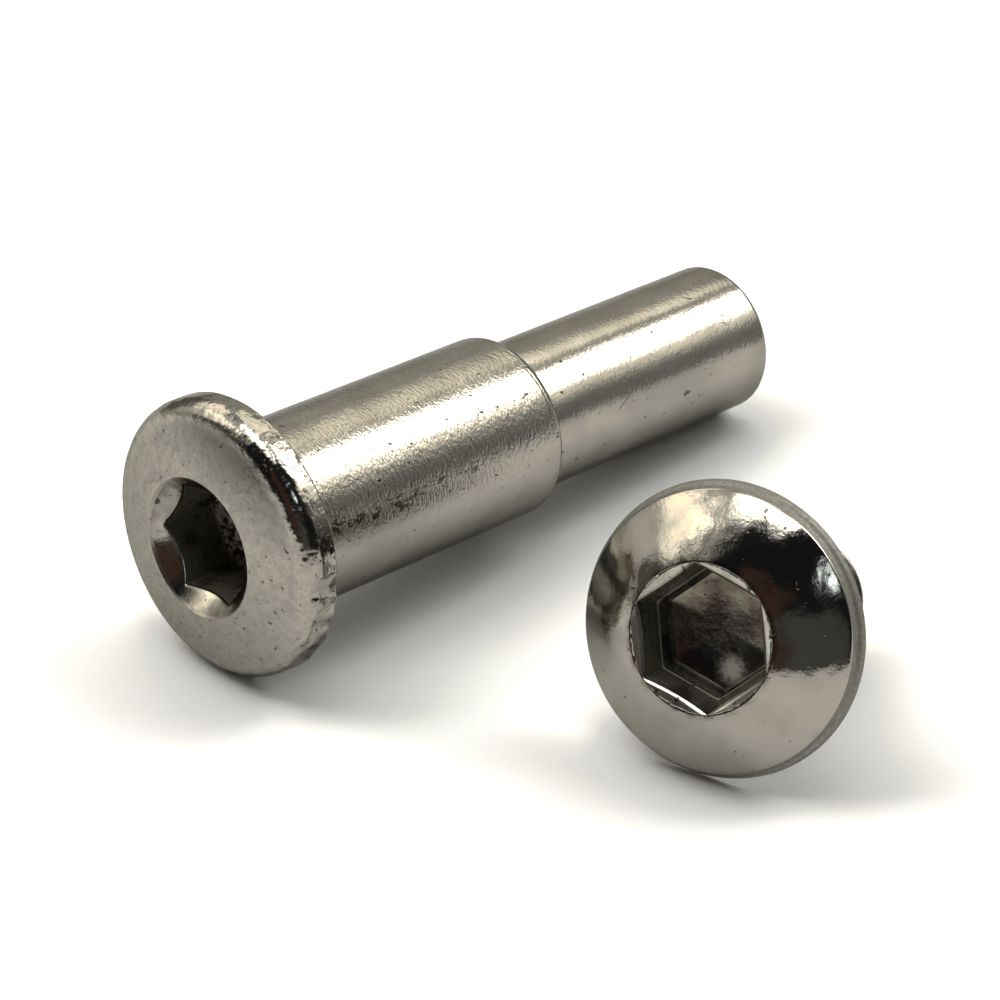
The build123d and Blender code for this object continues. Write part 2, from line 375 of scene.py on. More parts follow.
NICKS = ((89, 3.5, 0.15), (97, 2, 0.07), (106, 3, 0.11), (123, 5, 0.06))
barrel_outside = rough_rim(barrel_section, barrel_angles, BARREL_HEAD_DIA, 0.75, 0.035, 11.0,
                           nicks=NICKS, torn=(110, 26, 0.2))
under_head = int(np.searchsorted(barrel_section[:, 0] > -0.02, True))
barrel_groups = barrel_socket + [("head", barrel_outside[:under_head]),
                                 ("side", barrel_outside[under_head:])]
barrel = skin("barrel_body", barrel_groups, barrel_angles, BARREL_PLACE)

# %% [markdown]
# ## The screw's head
# The screw has a rounder dome than the barrel, a narrow leaning band around it where the die
# closed, and a flat bearing face. Its hexagon was punched with a tapered punch: from the lip it
# narrows for half its depth, then runs straight, and a faint ledge marks the change. The taper
# is a hexagon whose apothem shrinks with depth, so the same helper serves with a longer list of
# rings. The head ends in a short plug inside the neck, and the threaded shank takes over there.

# %% Screw head mesh
SCREW_DISH = 0.16       # how much deeper the middle of the floor lies
PUNCH_STEP = 0.018      # a step that the punch left below the lip
LIP_SLOPE = math.tan(math.radians(SCREW_MOUTH_SLOPE))


def tapered_socket(angles, lip):
    """Groups of rings from the middle of the floor of the screw's socket to inside its lip."""
    shrink = SCREW_LEAD_IN / 2 / SCREW_LEAD_IN_DEPTH
    low = hexagon(angles, SCREW_CLOCK, KEY_AF / 2, 0.3)
    inner = hexagon(angles, SCREW_CLOCK, KEY_AF / 2 - SCREW_FLOOR_BEVEL, 0.35)
    unit = hexagon(angles, SCREW_CLOCK, 1.0, 0.02)
    wide, mouth = (KEY_AF + SCREW_LEAD_IN) / 2, SCREW_MOUTH_DIA / 2
    edge = lip + LIP_SLOPE * (mouth - wide * unit) / (1 - LIP_SLOPE * shrink * unit)
    floor, waist = lip + SCREW_SOCKET_DEPTH, lip + SCREW_LEAD_IN_DEPTH

    def taper(a):
        return (wide - shrink * (a - lip)) * unit

    dish = [(floor + SCREW_DISH * (1 - k**3), inner * k)
            for k in (0.2, 0.4, 0.55, 0.7, 0.8, 0.9, 0.96)]
    dish.append((floor - 0.005, inner))
    bevel_top = floor - SCREW_FLOOR_BEVEL
    lower = [(floor - 0.035, inner + 0.04), (bevel_top + 0.04, low - 0.05)]
    foot, top = bevel_top - 0.03, waist + 0.05
    lower += [(foot + (top - foot) * k, low) for k in (0, 0.25, 0.5, 0.75, 1)]
    ledge = [(waist + 0.02, low + 0.01), (waist - 0.03, taper(waist - 0.03) + 0.02)]
    foot, top = waist - 0.07, edge + 0.36
    upper = []
    for k in (0.05, 0.15, 0.27, 0.42, 0.57, 0.72, 0.86):
        a = foot + (top - foot) * k
        upper.append((a, taper(a) + 0.008 * ragged(angles, k * 2, 2.0, 9.0)))
    step = PUNCH_STEP * (0.5 + ragged(angles, 0.0, 1.1, 31.0)).clip(0)
    for above, out in ((0.34, 0), (0.31, step), (0.14, step), (0.1, 0)):
        upper.append((edge + above, taper(edge + above) + out))
    brink = [(edge + 0.045, taper(edge) + 0.03), (edge + 0.015, taper(edge) + 0.065)]
    start = np.minimum(taper(edge) + 0.08, mouth - 0.004)
    for k in (0.05, 0.35, 0.65, 0.9):
        at = start + (mouth - start) * k
        brink.append((lip + LIP_SLOPE * (mouth - at), at))
    return [("floor", dish), ("wall", lower), ("ledge", ledge), ("wall", upper), ("edge", brink)]


screw_lip = -SCREW_HEAD_HEIGHT
NECK_END = 0.62         # the plug inside the neck ends here
BAND_DIA = SCREW_HEAD_DIA - 2 * SCREW_RIM_LEAN
screw_cap = dome(screw_lip, SCREW_MOUTH_DIA, SCREW_DOME_DIA, SCREW_DOME_RADIUS, 34)
screw_section = soft_section(
    [(screw_lip + 0.05 * LIP_SLOPE, SCREW_MOUTH_DIA / 2 - 0.05, 0), (*screw_cap[0], 0.12)]
    + [(a, r, 0) for a, r in screw_cap[1:-1] if r < SCREW_DOME_DIA / 2 - 0.1]
    + [(*screw_cap[-1], 0.2), (-SCREW_RIM_HEIGHT, BAND_DIA / 2, 0.1),
       (-SCREW_RIM_HEIGHT * 0.7, BAND_DIA / 2 + SCREW_RIM_LEAN * 0.64, 0.15),
       (0, SCREW_HEAD_DIA / 2, 0.05), (0, THREAD_DIA / 2, 0.4), (NECK_END, THREAD_DIA / 2, 0),
       (NECK_END, THREAD_DIA / 2 - 0.4, 0), (NECK_END - 0.2, 0.3, 0)], steps=7)
screw_outside = rough_rim(screw_section, screw_angles, SCREW_HEAD_DIA, 0.4, 0.012, 23.0)
dome_rings = int(np.searchsorted(screw_section[:, 1] > SCREW_DOME_DIA / 2 + 0.02, True))
screw_groups = tapered_socket(screw_angles, screw_lip) + [
    ("head", screw_outside[:dome_rings]), ("band", screw_outside[dome_rings:])]
screw_head = skin("screw_head", screw_groups, screw_angles, SCREW_PLACE)

# %% [markdown]
# ## Helpers for node trees
# The thread, the finishes and the sky are all node trees. In a script a tree reads best as nested
# calls, where the output of one node is handed to the next as an argument.

# %% Nodes as calls
def wire(tree, value, socket):
    """Links an output to a socket, or sets the socket to a plain value."""
    if isinstance(value, bpy.types.NodeSocket):
        tree.links.new(value, socket)
    else:
        socket.default_value = value


def node(tree, kind, inputs=(), **settings):
    """A node with its settings and inputs; an input's value may be another node's output."""
    made = tree.nodes.new(kind)
    for key, value in settings.items():
        setattr(made, key, value)
    for key, value in dict(inputs).items():
        wire(tree, value, made.inputs[key])
    return made


def calc(tree, operation, *terms, clamp=False):
    """The output of a Math node."""
    return node(tree, "ShaderNodeMath", dict(enumerate(terms)),
                operation=operation, use_clamp=clamp).outputs[0]


print("helpers: wire, node, calc")

# %% [markdown]
# ## The thread rule
# A thread is one rule: a trapezoid that climbs by its pitch in each turn. That suits Geometry
# Nodes. A flat grid is rolled up so that across it the angle goes round once, and along it each
# row is one turn of a helix, shifted by a share of the pitch. The end of each turn then meets
# the start of the row one pitch further on, and merging closes the seam. The same tree makes
# the outer thread and the inner one: the groove, the plain radius where it runs out, and the
# cones at its two ends are inputs, in mm. Two closing rows make a rod, three a sleeve.

# %% Geometry Nodes tree of a thread
THREAD_INPUTS = {
    "Turns": 10, "Rows per turn": 16, "Cuts around": 96, "Closing rows": 2, "Pitch": 1.0,
    "Length": 10.0, "Outer radius": 3.0, "Groove depth": 0.54, "Wide flat": 0.125,
    "Flank": 0.3125, "Plain radius": 3.0, "Starts at": 0.0, "Stops before end": -2.0,
    "Runs out over": 1.0, "End cone": 99.0, "Mouth cone": 0.0, "Closing radius": 0.0,
    "Metal": None}
KINDS = {int: "NodeSocketInt", float: "NodeSocketFloat", type(None): "NodeSocketMaterial"}

thread_tree = bpy.data.node_groups.new("helical_thread", "GeometryNodeTree")
for label, start in THREAD_INPUTS.items():
    socket = thread_tree.interface.new_socket(label, in_out="INPUT", socket_type=KINDS[type(start)])
    if start is not None:
        socket.default_value = start
thread_tree.interface.new_socket("Thread", in_out="OUTPUT", socket_type="NodeSocketGeometry")
given = thread_tree.nodes.new("NodeGroupInput").outputs
add, minus, times, over, least, most = (partial(calc, thread_tree, kind) for kind in (
    "ADD", "SUBTRACT", "MULTIPLY", "DIVIDE", "MINIMUM", "MAXIMUM"))
print("thread tree has", len(THREAD_INPUTS), "named inputs")

# %% [markdown]
# The rows: the grid is one unit wide and long, so its own position tells the angle and the row.
# The first and last rows close the shape; the rows between them carry the helix.

# %% Rows and lengths in the thread tree
turn_rows = times(given["Rows per turn"], add(given["Turns"], 1))
last_row = add(turn_rows, given["Closing rows"])
grid = node(thread_tree, "GeometryNodeMeshGrid", {
    "Size X": 1.0, "Size Y": 1.0, "Vertices X": add(given["Cuts around"], 1),
    "Vertices Y": add(last_row, 1)})
spot = node(thread_tree, "ShaderNodeSeparateXYZ", {
    0: node(thread_tree, "GeometryNodeInputPosition").outputs[0]})
around = add(spot.outputs["X"], 0.5)
row = calc(thread_tree, "ROUND", times(add(spot.outputs["Y"], 0.5), last_row))
helix_row = least(most(minus(row, 1), 0), turn_rows)
turns_up = minus(over(helix_row, given["Rows per turn"]), 1)
climb = times(given["Pitch"], add(turns_up, around))
along = least(most(climb, 0), given["Length"])
print("grid rows are turned into steps of a helix")

# %% [markdown]
# The trapezoid: how far a point is from the middle of the wide flat, as a share of the pitch,
# says whether it is on the flat, on the flank, or at the bottom of the groove. Near the neck of
# the screw, and deep in the bore, the groove runs out into the plain radius, as it does where
# a rolling die or a tap stops.

# %% Radius in the thread tree
phase = calc(thread_tree, "FRACT", minus(over(along, given["Pitch"]), around))
from_flat = calc(thread_tree, "ABSOLUTE", minus(phase, 0.5))
flank = over(minus(from_flat, over(given["Wide flat"], 2)), given["Flank"], clamp=True)
cut = minus(given["Outer radius"], times(given["Groove depth"], flank))
to_end = minus(given["Length"], along)
fade_in, fade_out = (
    over(minus(run, given[limit]), given["Runs out over"], clamp=True)
    for run, limit in ((along, "Starts at"), (to_end, "Stops before end")))
share = times(fade_in, fade_out)
radius = add(given["Plain radius"], times(minus(cut, given["Plain radius"]), share))
radius = least(radius, add(given["End cone"], to_end))
radius = most(radius, minus(given["Mouth cone"], along))
closing = add(calc(thread_tree, "LESS_THAN", row, 0.5),
              calc(thread_tree, "GREATER_THAN", row, add(turn_rows, 1.5)), clamp=True)
radius = add(radius, times(minus(given["Closing radius"], radius), closing))
back_row = calc(thread_tree, "GREATER_THAN", row, add(turn_rows, 2.5))
along = times(along, minus(1.0, back_row))
angle = times(around, 2 * math.pi)
print("radius: trapezoid, run-out, end cones, closing rows")

# %% [markdown]
# The last nodes put each point on its helix, merge the seam, and give the metal. The result is
# read as a plain mesh, put in its place, and checked for open edges. A thread that was only a
# bump in the material would look flat from the side, where its teeth make the outline.

# %% Threads as plain meshes
to_place = node(thread_tree, "ShaderNodeCombineXYZ", {
    0: times(radius, calc(thread_tree, "COSINE", angle)),
    1: times(radius, calc(thread_tree, "SINE", angle)), 2: along})
chain = grid.outputs["Mesh"]
for kind, settings in (
        ("GeometryNodeSetPosition", {"Position": to_place.outputs[0]}),
        ("GeometryNodeMergeByDistance", {"Distance": 0.0005}),
        ("GeometryNodeSetShadeSmooth", {}), ("GeometryNodeRealizeInstances", {}),
        ("GeometryNodeSetMaterial", {"Material": given["Metal"]})):
    chain = node(thread_tree, kind, {0: chain, **settings}).outputs[0]
node(thread_tree, "NodeGroupOutput", {0: chain})


def thread(name, place, **settings):
    """A thread as a plain mesh object in its place. The settings are the tree's inputs, in mm."""
    holder = into_scene(name + "_rule", bpy.data.meshes.new(name + "_rule"))
    rule = holder.modifiers.new("thread", "NODES")
    rule.node_group = thread_tree
    for item in thread_tree.interface.items_tree:
        key = item.name.replace(" ", "_").lower()
        if item.in_out == "INPUT" and key in settings:
            rule[item.identifier] = settings[key]
    seen = holder.evaluated_get(bpy.context.evaluated_depsgraph_get())
    mesh = bpy.data.meshes.new_from_object(seen)
    bpy.data.objects.remove(holder)
    mesh.name = name
    mesh.transform(place @ Matrix.Scale(MM, 4))
    piece = into_scene(name, mesh)
    face_out(piece)
    return piece


print("thread tree:", len(thread_tree.nodes), "nodes")

# %% [markdown]
# ## Nickel
# Nickel plate is a warm grey metal, a little yellow beside chrome. Its look comes nearly all
# from what it mirrors and from how rough the skin is, so each finish here is the same metal with
# another roughness, grain and set of marks. The patterns read the Object coordinates through
# a Mapping node that turns them into the piece's own axes in millimetres, so z runs along the
# piece whatever way it lies, and a size in a pattern is a size on the part.

# %% Helpers for materials
def own_axes(tree, place):
    """Object coordinates in the piece's own axes, in millimetres."""
    return node(tree, "ShaderNodeMapping", {
        "Vector": node(tree, "ShaderNodeTexCoord").outputs["Object"],
        "Location": place.translation, "Rotation": place.to_euler(),
        "Scale": (MM, MM, MM)}, vector_type="TEXTURE").outputs[0]


def on_vector(tree, operation, vector, other=None):
    """The outputs of a Vector Math node with one or two vectors."""
    inputs = {0: vector} if other is None else {0: vector, 1: other}
    return node(tree, "ShaderNodeVectorMath", inputs, operation=operation).outputs


def grain(tree, own, per_mm, detail, roughness):
    """Noise with a number of features per millimetre, one for all axes or one for each."""
    per_mm = per_mm if isinstance(per_mm, tuple) else (per_mm,) * 3
    return node(tree, "ShaderNodeTexNoise", {
        "Vector": on_vector(tree, "MULTIPLY", own, per_mm)[0], "Scale": 1.0, "Detail": detail,
        "Roughness": roughness}).outputs[0]


def between(tree, value, low, high, to_low=0.0, to_high=1.0, soft=True):
    """A value mapped from one range to another, with a soft or a straight ramp."""
    return node(tree, "ShaderNodeMapRange", {
        0: value, 1: low, 2: high, 3: to_low, 4: to_high},
        interpolation_type="SMOOTHSTEP" if soft else "LINEAR").outputs[0]


def off_axis(tree, own):
    """How far a point is from the axis of its piece, in mm."""
    return on_vector(tree, "LENGTH", on_vector(tree, "MULTIPLY", own, (1, 1, 0))[0])["Value"]


def tint(tree, share, base, other):
    """The base colour with a share of the other."""
    mixed = node(tree, "ShaderNodeMix", {"Factor": share}, data_type="RGBA")
    for key, value in (("A_Color", base), ("B_Color", other)):
        wire(tree, value, next(s for s in mixed.inputs if s.identifier == key))
    return next(s for s in mixed.outputs if s.identifier == "Result_Color")


NICKEL = (0.42, 0.40, 0.352, 1.0)
NICKEL_DARK = (0.24, 0.222, 0.185, 1.0)
NICKEL_DULL = (0.37, 0.355, 0.32, 1.0)
NICKEL_FRESH = (0.5, 0.48, 0.42, 1.0)
NICKEL_EDGE = (0.5, 0.5, 0.48, 1.0)     # tint of the mirror image at a grazing angle
# dark of pores, also the colour of the painted dark reflection streaks on the barrel's sides
PORE_AND_PAINTED_STREAK = (0.05, 0.042, 0.035, 1.0)


def metal(name, place):
    """A metal material with its tree and shader, and the piece's own axes."""
    material = bpy.data.materials.new(name)
    material.use_nodes = True
    tree = material.node_tree
    shader = tree.nodes["Principled BSDF"]
    shader.inputs["Metallic"].default_value = 1.0
    shader.inputs["Specular Tint"].default_value = NICKEL_EDGE
    material.diffuse_color = NICKEL
    return material, tree, shader, own_axes(tree, place)


def paint(tree, shader, tone, marks, share):
    """The shader's colour: a tone with dark marks in the colour of pores laid over it; on the
    barrel's sides the marks also hold a painted dark reflection.
    """
    wire(tree, tint(tree, calc(tree, "MULTIPLY", marks, share), tone, PORE_AND_PAINTED_STREAK),
         shader.inputs["Base Color"])


def lift(tree, shader, *layers):
    """Bump layers, each (height, depth in mm), one on the other. A negative depth is a hollow."""
    normal = None
    for height, depth in layers:
        if depth < 0:
            height = calc(tree, "MULTIPLY", height, -1.0)
        inputs = {"Height": height, "Distance": abs(depth) * MM, "Strength": 1.0}
        if normal is not None:
            inputs["Normal"] = normal
        normal = node(tree, "ShaderNodeBump", inputs).outputs[0]
    wire(tree, normal, shader.inputs["Normal"])


print("nickel base colour", NICKEL[:3])

# %% [markdown]
# ## Satin sides
# The sides of the barrel were drawn and then tumbled. Close up they sparkle: a fine even grain,
# short lines around the piece from the die and a few pits. A band of jagged dark streaks, low on
# the side towards the screw, is a painted dark reflection. The grain is noise at about seven
# features to the millimetre; the lines are a slower noise squeezed along the piece, and weaker on the
# tail.

# %% Satin nickel for the barrel's sides
def scratches(tree, own, cell, width, seed):
    """Thin curved lines: the borders of large cells, kept only where a noise is high."""
    bent = on_vector(tree, "MULTIPLY", own, (1 / cell,) * 3)[0]
    bent = on_vector(tree, "ADD", bent, (seed, 0, 0))[0]
    border = node(tree, "ShaderNodeTexVoronoi", {"Vector": bent, "Scale": 1.0},
                  feature="DISTANCE_TO_EDGE").outputs["Distance"]
    keep = between(tree, grain(tree, bent, 2.3, 2, 0.5), 0.56, 0.62)
    return calc(tree, "MULTIPLY", between(tree, border, 0.0, width / cell, 1.0, 0.0), keep)


# The painted dark reflection: a band of dark streaks painted low on the side towards the screw. Its
# middle, width and run along the barrel:
PAINTED_STREAK_AT = 73.0          # degrees around the barrel from its top, towards the screw
PAINTED_STREAK_WIDTH = 11.0       # to each side, degrees
PAINTED_STREAK_FADES = 6.0, 17.0  # from here to there along the barrel
TAIL_STROKES = 0.35     # strength of the lines on the tail


def satin_nickel(name, place):
    """Drawn and tumbled metal with short lines around it, scratches, and painted dark reflection
    streaks on one side.
    """
    material, tree, shader, own = metal(name, place)
    parts = node(tree, "ShaderNodeSeparateXYZ", {0: own}).outputs
    fine = grain(tree, own, 7, 3, 0.6)
    strokes = grain(tree, own, (3.2, 3.2, 6.5), 3, 0.6)
    slow = grain(tree, own, (0.5, 0.5, 0.35), 3, 0.5)
    falloff = between(tree, parts[2], BODY_LENGTH - 0.1, BODY_LENGTH + 0.1, 1.0, TAIL_STROKES)
    around = calc(tree, "DEGREES", calc(tree, "ARCTAN2", parts[1], parts[0]))
    # painted dark reflection: jagged dark streaks in a band at a fixed angle around the barrel,
    # fading along it
    streak_band = calc(tree, "ABSOLUTE", calc(tree, "SUBTRACT", around, PAINTED_STREAK_AT))
    streak_band = calc(tree, "MULTIPLY", between(tree, streak_band, 0.0, PAINTED_STREAK_WIDTH, 1.0, 0.0),
                between(tree, parts[2], *PAINTED_STREAK_FADES, 1.0, 0.0))
    jagged = grain(tree, own, (2.6, 2.6, 1.3), 4, 0.65)
    painted_streaks = between(tree, calc(tree, "ADD", jagged, calc(tree, "MULTIPLY", streak_band, 0.2)), 0.66, 0.72)
    pits = between(tree, grain(tree, own, (3.4, 3.4, 2.2), 2, 0.5), 0.715, 0.74)
    marks = calc(tree, "MAXIMUM", pits, scratches(tree, own, 9.0, 0.035, 3.7))
    # the marks now hold real pits and scratches and the painted dark reflection streaks
    marks = calc(tree, "MAXIMUM", marks, painted_streaks)
    tone = tint(tree, between(tree, slow, 0.35, 0.7, 0.0, 0.35), NICKEL, NICKEL_DARK)
    paint(tree, shader, tone, marks, 0.85)
    rough = calc(tree, "ADD", between(tree, slow, 0.3, 0.7, 0.09, 0.13),
                 between(tree, fine, 0.35, 0.7, 0.0, 0.06))
    wire(tree, rough, shader.inputs["Roughness"])
    strokes = calc(tree, "MULTIPLY", strokes, falloff)
    lift(tree, shader, (slow, 0.03), (strokes, 0.032), (fine, 0.006), (marks, -0.008))
    return material


barrel_side = satin_nickel("nickel_satin_sides", BARREL_PLACE)
print(barrel_side.name)

# %% [markdown]
# ## Headed faces
# The head of the barrel was struck by a worn die: its face is dull, with fine specks where dirt
# sits in the pores, and only its shoulder was tumbled bright and a little lumpy. The screw's head
# was polished before plating, so it mirrors the room nearly clean, with a few small pits. A patchy
# dark ring round its lip is painted shade, where the dome turns down into the socket.

# %% Dull and bright heads
# colour of the painted shade ring round the lip of the screw's socket
PAINTED_LIP_SHADE = (0.12, 0.11, 0.09, 1.0)


def struck_nickel(name, place, polished_from):
    """Dull in the middle of the face, tumbled bright beyond a distance from the axis in mm."""
    material, tree, shader, own = metal(name, place)
    fine = grain(tree, own, 5.5, 4, 0.65)
    mid = grain(tree, own, 2.2, 3, 0.6)
    slow = grain(tree, own, 0.55, 2, 0.5)
    specks = between(tree, grain(tree, own, 4.3, 2, 0.5), 0.67, 0.71)
    polish = between(tree, off_axis(tree, own), polished_from - 0.3, polished_from + 0.3)
    cloud = calc(tree, "ADD", between(tree, mid, 0.4, 0.65, 0.0, 0.3),
                 between(tree, fine, 0.45, 0.65, 0.0, 0.12))
    tone = tint(tree, cloud, NICKEL, NICKEL_DARK)
    paint(tree, shader, tone, specks, 0.8)
    lumps = calc(tree, "MULTIPLY", polish, grain(tree, own, 1.5, 2, 0.5))
    dull = calc(tree, "ADD", between(tree, slow, 0.3, 0.7, 0.24, 0.32),
                between(tree, fine, 0.35, 0.7, 0.0, 0.10))
    wire(tree, calc(tree, "MULTIPLY", dull, between(tree, polish, 0, 1, 1.0, 0.38, soft=False)),
         shader.inputs["Roughness"])
    lift(tree, shader, (lumps, 0.06), (mid, 0.012), (fine, 0.005), (specks, -0.012))
    return material


def bright_nickel(name, place, rough=0.055, lip_shade_from=0.0):
    """Bright metal. The painted shade ring round the lip begins at a distance from the axis in mm."""
    material, tree, shader, own = metal(name, place)
    fine = grain(tree, own, 6.5, 3, 0.6)
    mid = grain(tree, own, 1.5, 2, 0.5)
    slow = grain(tree, own, 0.5, 2, 0.5)
    specks = between(tree, grain(tree, own, 2.9, 1, 0.5), 0.74, 0.78)
    # painted shade: a patchy dark ring just outside the lip of the socket
    falloff = between(tree, off_axis(tree, own), lip_shade_from, lip_shade_from + 0.3, 1.0, 0.0)
    falloff = calc(tree, "MULTIPLY", falloff, between(tree, mid, 0.4, 0.6, 0.1, 0.8))
    tone = tint(tree, between(tree, slow, 0.4, 0.7, 0.0, 0.25), NICKEL, NICKEL_DARK)
    tone = tint(tree, falloff, tone, PAINTED_LIP_SHADE)
    paint(tree, shader, tone, specks, 0.7)
    wire(tree, calc(tree, "ADD", between(tree, slow, 0.3, 0.7, rough, rough + 0.04),
                    between(tree, fine, 0.4, 0.7, 0.0, 0.03)), shader.inputs["Roughness"])
    lift(tree, shader, (slow, 0.07), (mid, 0.012), (fine, 0.006), (specks, -0.006))
    return material


barrel_face = struck_nickel("nickel_struck_face", BARREL_PLACE, BARREL_HEAD_DIA / 2 - 0.75)
# the screw's head gets the painted shade ring from the lip of its socket outwards
screw_face = bright_nickel("nickel_bright_head", SCREW_PLACE, lip_shade_from=SCREW_MOUTH_DIA / 2)
print(barrel_face.name, "and", screw_face.name)

# %% [markdown]
# ## Inside the sockets
# A punched socket keeps the marks of its punch: fine lines down the walls, and a brown film
# where plating is thin and oil has dried. The lines are noise stretched along the piece. Where
# the punch stopped in the barrel, the floor is torn; in the screw it is smooth, with a pale spot
# painted on it as light falling on the floor.

# %% Socket walls
PUNCHED = (0.13, 0.12, 0.09, 1.0)
FLOOR_CLEAN = (0.24, 0.225, 0.18, 1.0)
FLOOR_STAIN = (0.15, 0.12, 0.095, 1.0)
# colour of the painted light spot on the floor of the screw's socket
PAINTED_LIGHT_SPOT = (0.95, 0.92, 0.80, 1.0)


def punched_nickel(name, place, clean, stain, rough, film=0.0, pit_at=None, light_spot_at=None):
    """A wall or floor left by a punch. film is the share under dried oil, which is no metal.
    pit_at is the place of one large pit. The last argument is the place of a painted light spot, pale
    and matt."""
    material, tree, shader, own = metal(name, place)
    shader.inputs["Metallic"].default_value = 1.0 - film
    streaks = grain(tree, own, (5, 5, 0.7), 4, 0.6)
    slow = grain(tree, own, (0.7, 0.7, 0.5), 2, 0.5)
    fine = grain(tree, own, 7, 3, 0.6)
    pits = between(tree, grain(tree, own, 3.0, 1, 0.5), 0.70, 0.73)
    if pit_at:
        gap = on_vector(tree, "DISTANCE", own, pit_at)["Value"]
        pits = calc(tree, "MAXIMUM", pits, between(tree, gap, 0.16, 0.24, 1.0, 0.0))
    tone = tint(tree, between(tree, slow, 0.42, 0.62), clean, stain)
    # painted light: a pale, mostly matt spot at one place on the floor, standing in for light that
    # falls there
    if light_spot_at:
        gap = on_vector(tree, "DISTANCE", own, light_spot_at)["Value"]
        patchy = calc(tree, "MULTIPLY", calc(tree, "SUBTRACT", streaks, 0.5), 0.7)
        painted_light = between(tree, calc(tree, "ADD", gap, patchy), 0.2, 1.0, 1.0, 0.0)
        tone = tint(tree, painted_light, tone, PAINTED_LIGHT_SPOT)
        wire(tree, between(tree, painted_light, 0.0, 1.0, 1.0, 0.25, soft=False), shader.inputs["Metallic"])
    paint(tree, shader, tone, pits, 0.9)
    wire(tree, between(tree, fine, 0.3, 0.7, rough, rough + 0.08), shader.inputs["Roughness"])
    lift(tree, shader, (slow, 0.03), (streaks, 0.008), (fine, 0.003))
    return material


def torn_nickel(name, place):
    """A floor where the punch tore the metal: coarse, half dark and half bright."""
    material, tree, shader, own = metal(name, place)
    coarse = grain(tree, own, 2.4, 4, 0.65)
    shader.inputs["Metallic"].default_value = 0.6
    wire(tree, tint(tree, between(tree, coarse, 0.46, 0.54), NICKEL_FRESH, PORE_AND_PAINTED_STREAK),
         shader.inputs["Base Color"])
    wire(tree, between(tree, coarse, 0.3, 0.7, 0.35, 0.55), shader.inputs["Roughness"])
    lift(tree, shader, (coarse, 0.12))
    return material


barrel_wall = punched_nickel("nickel_barrel_socket_wall", BARREL_PLACE, PUNCHED, PORE_AND_PAINTED_STREAK, 0.2, 0.6)
barrel_floor = torn_nickel("nickel_barrel_socket_floor", BARREL_PLACE)
barrel_cone = punched_nickel("nickel_barrel_socket_cone", BARREL_PLACE, NICKEL, NICKEL_DARK, 0.12,
                             pit_at=(1.12, -3.08, -2.4))
screw_wall = punched_nickel("nickel_screw_socket_wall", SCREW_PLACE, PUNCHED, PORE_AND_PAINTED_STREAK, 0.2, 0.5)
# the screw's floor carries the painted light spot low in the socket
screw_floor = punched_nickel("nickel_screw_socket_floor", SCREW_PLACE, FLOOR_CLEAN, FLOOR_STAIN,
                             0.17, light_spot_at=(-1.65, 0.74, -0.1))
screw_ledge, screw_edge = (
    punched_nickel("nickel_screw_socket_" + part, SCREW_PLACE, NICKEL_FRESH, NICKEL, rough, film)
    for part, rough, film in (("ledge", 0.3, 0.6), ("edge", 0.12, 0.15)))
thread_metal = bright_nickel("nickel_thread", SCREW_PLACE, 0.2)
bore_metal = bright_nickel("nickel_bore_thread", BARREL_PLACE, 0.25)
print(barrel_wall.name, "and", screw_wall.name)

# %% [markdown]
# ## A dull band
# The band around the screw's head was rolled against the die and missed the polish, so it is
# an even grey all round.

# %% The screw's band
def rolled_nickel(name, place):
    """Even dull metal with a faint grain."""
    material, tree, shader, own = metal(name, place)
    fine = grain(tree, own, 6, 4, 0.6)
    wire(tree, tint(tree, between(tree, fine, 0.35, 0.65, 0.1, 0.6), NICKEL_DULL, NICKEL_DARK),
         shader.inputs["Base Color"])
    wire(tree, between(tree, fine, 0.3, 0.7, 0.55, 0.65), shader.inputs["Roughness"])
    lift(tree, shader, (fine, 0.004))
    return material


screw_band = rolled_nickel("nickel_rolled_band", SCREW_PLACE)
print(screw_band.name)

# %% [markdown]
# ## Finishes on the faces
# One skin carries several finishes. The faces were made ring by ring, so a group of rings is
# a run of faces, and each run takes the finish of its group.

# %% Give the groups their finishes
def finish_groups(piece, groups, around, finishes):
    """finishes gives the material for each group's name; around is the faces in a ring."""
    names = list(finishes)
    for name in names:
        piece.data.materials.append(finishes[name])
    runs = [names.index(name) for name, rings in groups for _ in rings]
    runs.append(runs[-1])
    piece.data.polygons.foreach_set("material_index", np.repeat(runs, around))
    print(piece.name, {name: len(rings) for name, rings in groups})


finish_groups(barrel, barrel_groups, len(barrel_angles), {
    "head": barrel_face, "side": barrel_side, "floor": barrel_floor, "wall": barrel_wall,
    "cone": barrel_cone})
finish_groups(screw_head, screw_groups, len(screw_angles), {
    "head": screw_face, "band": screw_band, "floor": screw_floor, "wall": screw_wall,
    "ledge": screw_ledge, "edge": screw_edge})

# %% [markdown]
# ## The two threads
# The screw's M6 thread is rolled: its crests are narrow and its tip has a lead-in cone.
# The bore's thread is cut by a tap from the tail, stops short of the bottom, and opens in
# a countersink. For the bore, the piece's axes are turned end for end, which leaves the hand of
# the thread as it is: a right-hand thread is right-hand from both ends.

